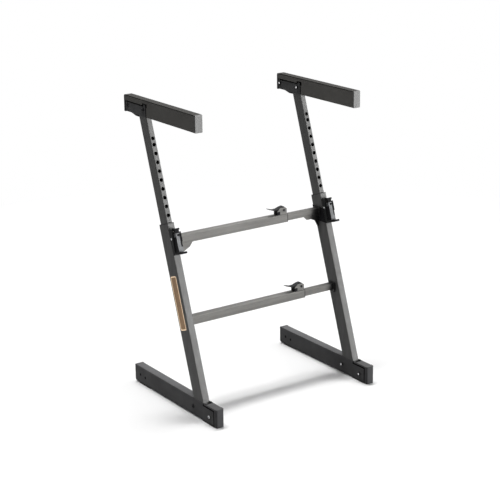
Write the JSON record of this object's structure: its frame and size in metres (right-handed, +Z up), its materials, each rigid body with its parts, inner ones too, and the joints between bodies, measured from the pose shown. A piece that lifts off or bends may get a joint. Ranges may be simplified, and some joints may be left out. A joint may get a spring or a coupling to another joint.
{
  "type": "keyboard stand",
  "caption": "Z-shaped keyboard stand: sloping telescopic posts between level feet and arms, joined by telescoping crossbars with cam clamps; spring trigger latches set the height.",
  "frame": {"origin": "on the floor, under the middle of the stand's box", "axes": "+Z up, +X across the stand from the left frame to the right frame, +Y towards the rear, away from the player"},
  "size_m": [0.5998, 0.474, 0.9158],
  "materials": {
    "black_steel": "satin black powder coat",
    "grey_steel": "satin grey powder coat",
    "black_plastic": "fine moulded grain",
    "arm_cover": "matte, fine grain",
    "grey_cap": "matte",
    "rubber": "matte",
    "zinc": "zinc plated"
  },
  "bodies": {
    "left_frame": {"left_foot_tube": "black_steel", "left_foot_front_cap": "black_plastic", "left_foot_rear_cap": "black_plastic", "left_foot_rear_pad": "rubber", "left_foot_bracket": "black_steel", "left_foot_bolt_front": "zinc", "left_foot_bolt_rear": "zinc", "left_lower_post": "grey_steel", "left_post_bushing": "black_plastic", "left_trigger_housing": "black_plastic", "left_trigger_pivot": "zinc", "left_trigger_spring": "zinc", "upper_crossbar_outer": "grey_steel", "upper_clamp_bracket": "grey_steel", "upper_cam_pin": "zinc", "lower_crossbar_outer": "grey_steel", "lower_clamp_bracket": "grey_steel", "lower_cam_pin": "zinc"},
    "right_frame": {"right_foot_tube": "black_steel", "right_foot_front_cap": "black_plastic", "right_foot_rear_cap": "black_plastic", "right_foot_rear_pad": "rubber", "right_foot_bracket": "black_steel", "right_foot_bolt_front": "zinc", "right_foot_bolt_rear": "zinc", "right_lower_post": "grey_steel", "right_post_bushing": "black_plastic", "right_trigger_housing": "black_plastic", "right_trigger_pivot": "zinc", "right_trigger_spring": "zinc", "upper_crossbar_inner": "grey_steel", "lower_crossbar_inner": "grey_steel"},
    "left_mast": {"left_upper_post": "grey_steel", "left_upper_post_glide": "black_plastic", "left_head_bracket": "black_steel", "left_arm_channel": "black_steel", "left_arm_cover": "arm_cover", "left_arm_front_cap": "grey_cap", "left_arm_rear_cap": "black_plastic", "left_arm_bolt_front": "zinc", "left_arm_bolt_rear": "zinc"},
    "left_trigger": {"left_trigger_lever": "zinc", "left_trigger_grip": "black_plastic"},
    "left_pin": {"left_index_pin": "zinc"},
    "right_mast": {"right_upper_post": "grey_steel", "right_upper_post_glide": "black_plastic", "right_head_bracket": "black_steel", "right_arm_channel": "black_steel", "right_arm_cover": "arm_cover", "right_arm_front_cap": "grey_cap", "right_arm_rear_cap": "black_plastic", "right_arm_bolt_front": "zinc", "right_arm_bolt_rear": "zinc"},
    "right_trigger": {"right_trigger_lever": "zinc", "right_trigger_grip": "black_plastic"},
    "right_pin": {"right_index_pin": "zinc"},
    "upper_cam": {"upper_cam_lever": "grey_steel"},
    "upper_pad": {"upper_clamp_pad": "rubber"},
    "lower_cam": {"lower_cam_lever": "grey_steel"},
    "lower_pad": {"lower_clamp_pad": "rubber"}
  },
  "joints": [
    {"name": "width_slide", "type": "slide", "parent": "left_frame", "child": "right_frame", "axis": [1, 0, 0], "range_m": [-0.014, 0.324]},
    {"name": "left_height_slide", "type": "slide", "parent": "left_frame", "child": "left_mast", "axis": [0, 0.3223, 0.9466], "range_m": [-0.264, 0.0528]},
    {"name": "left_trigger_hinge", "type": "hinge", "parent": "left_frame", "child": "left_trigger", "pos_m": [-0.282, -0.01216, 0.5232], "axis": [-1, 0, 0], "range_deg": [0, 12], "stiffness_Nm_per_rad": 1.2, "springref_deg": -5.73, "deforming": ["left_trigger_spring"]},
    {"name": "left_pin_slide", "type": "slide", "parent": "left_frame", "child": "left_pin", "axis": [0, -0.9466, 0.3223], "range_m": [0, 0.0073]},
    {"name": "right_height_slide", "type": "slide", "parent": "right_frame", "child": "right_mast", "axis": [0, 0.3223, 0.9466], "range_m": [-0.264, 0.0528]},
    {"name": "right_trigger_hinge", "type": "hinge", "parent": "right_frame", "child": "right_trigger", "pos_m": [0.282, -0.01216, 0.5232], "axis": [-1, 0, 0], "range_deg": [0, 12], "stiffness_Nm_per_rad": 1.2, "springref_deg": -5.73, "deforming": ["right_trigger_spring"]},
    {"name": "right_pin_slide", "type": "slide", "parent": "right_frame", "child": "right_pin", "axis": [0, -0.9466, 0.3223], "range_m": [0, 0.0073]},
    {"name": "upper_cam_hinge", "type": "hinge", "parent": "left_frame", "child": "upper_cam", "pos_m": [0.134, 0.02443, 0.5331], "axis": [0, 1, 0], "range_deg": [0, 100]},
    {"name": "upper_pad_slide", "type": "slide", "parent": "left_frame", "child": "upper_pad", "axis": [0, 0, 1], "range_m": [0, 0.0012]},
    {"name": "lower_cam_hinge", "type": "hinge", "parent": "left_frame", "child": "lower_cam", "pos_m": [0.1425, -0.0537, 0.3036], "axis": [0, 1, 0], "range_deg": [0, 100]},
    {"name": "lower_pad_slide", "type": "slide", "parent": "left_frame", "child": "lower_pad", "axis": [0, 0, 1], "range_m": [0, 0.0012]}
  ],
  "couplings": [
    {"joint": "left_pin_slide", "follows": "left_trigger_hinge", "m_per_rad": 0.034377},
    {"joint": "right_pin_slide", "follows": "right_trigger_hinge", "m_per_rad": 0.034377},
    {"joint": "upper_pad_slide", "follows": "upper_cam_hinge", "m_per_rad": 0.000659},
    {"joint": "lower_pad_slide", "follows": "lower_cam_hinge", "m_per_rad": 0.000659}
  ]
}
